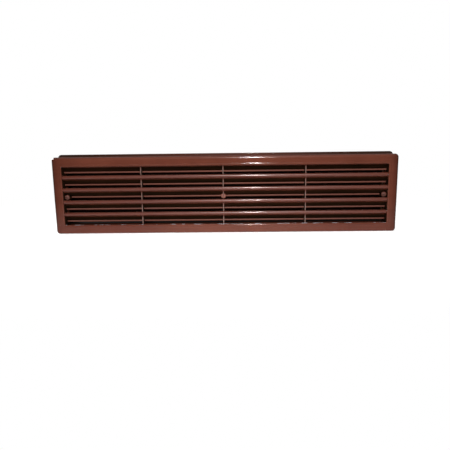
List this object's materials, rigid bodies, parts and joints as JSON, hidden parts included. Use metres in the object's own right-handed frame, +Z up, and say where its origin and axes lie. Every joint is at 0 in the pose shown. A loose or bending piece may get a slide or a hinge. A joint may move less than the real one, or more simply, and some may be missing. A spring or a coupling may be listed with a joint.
{
  "type": "door vent grille",
  "caption": "Wide two-sided louvred vent grille for a door cut-out: flanged plastic halves whose collars telescope to suit the leaf and are drawn together by screws.",
  "frame": {"origin": "middle of the door cut-out, half way between the two flange seats with the halves closed up", "axes": "+X across the door along the blades, +Y through the door from the front face to the rear face, +Z up"},
  "size_m": [0.44, 0.0372, 0.1],
  "materials": {
    "moulded_front": "glossy red-brown moulded plastic",
    "moulded_rear": "glossy red-brown moulded plastic",
    "lacquered_screw": "brown lacquered steel"
  },
  "bodies": {
    "front_half": {"front_grille": "moulded_front", "joining_screws": "lacquered_screw"},
    "rear_half": {"rear_grille": "moulded_rear"}
  },
  "joints": [
    {"name": "leaf_fit", "type": "slide", "parent": "front_half", "child": "rear_half", "axis": [0, 1, 0], "range_m": [0, 0.01]}
  ]
}
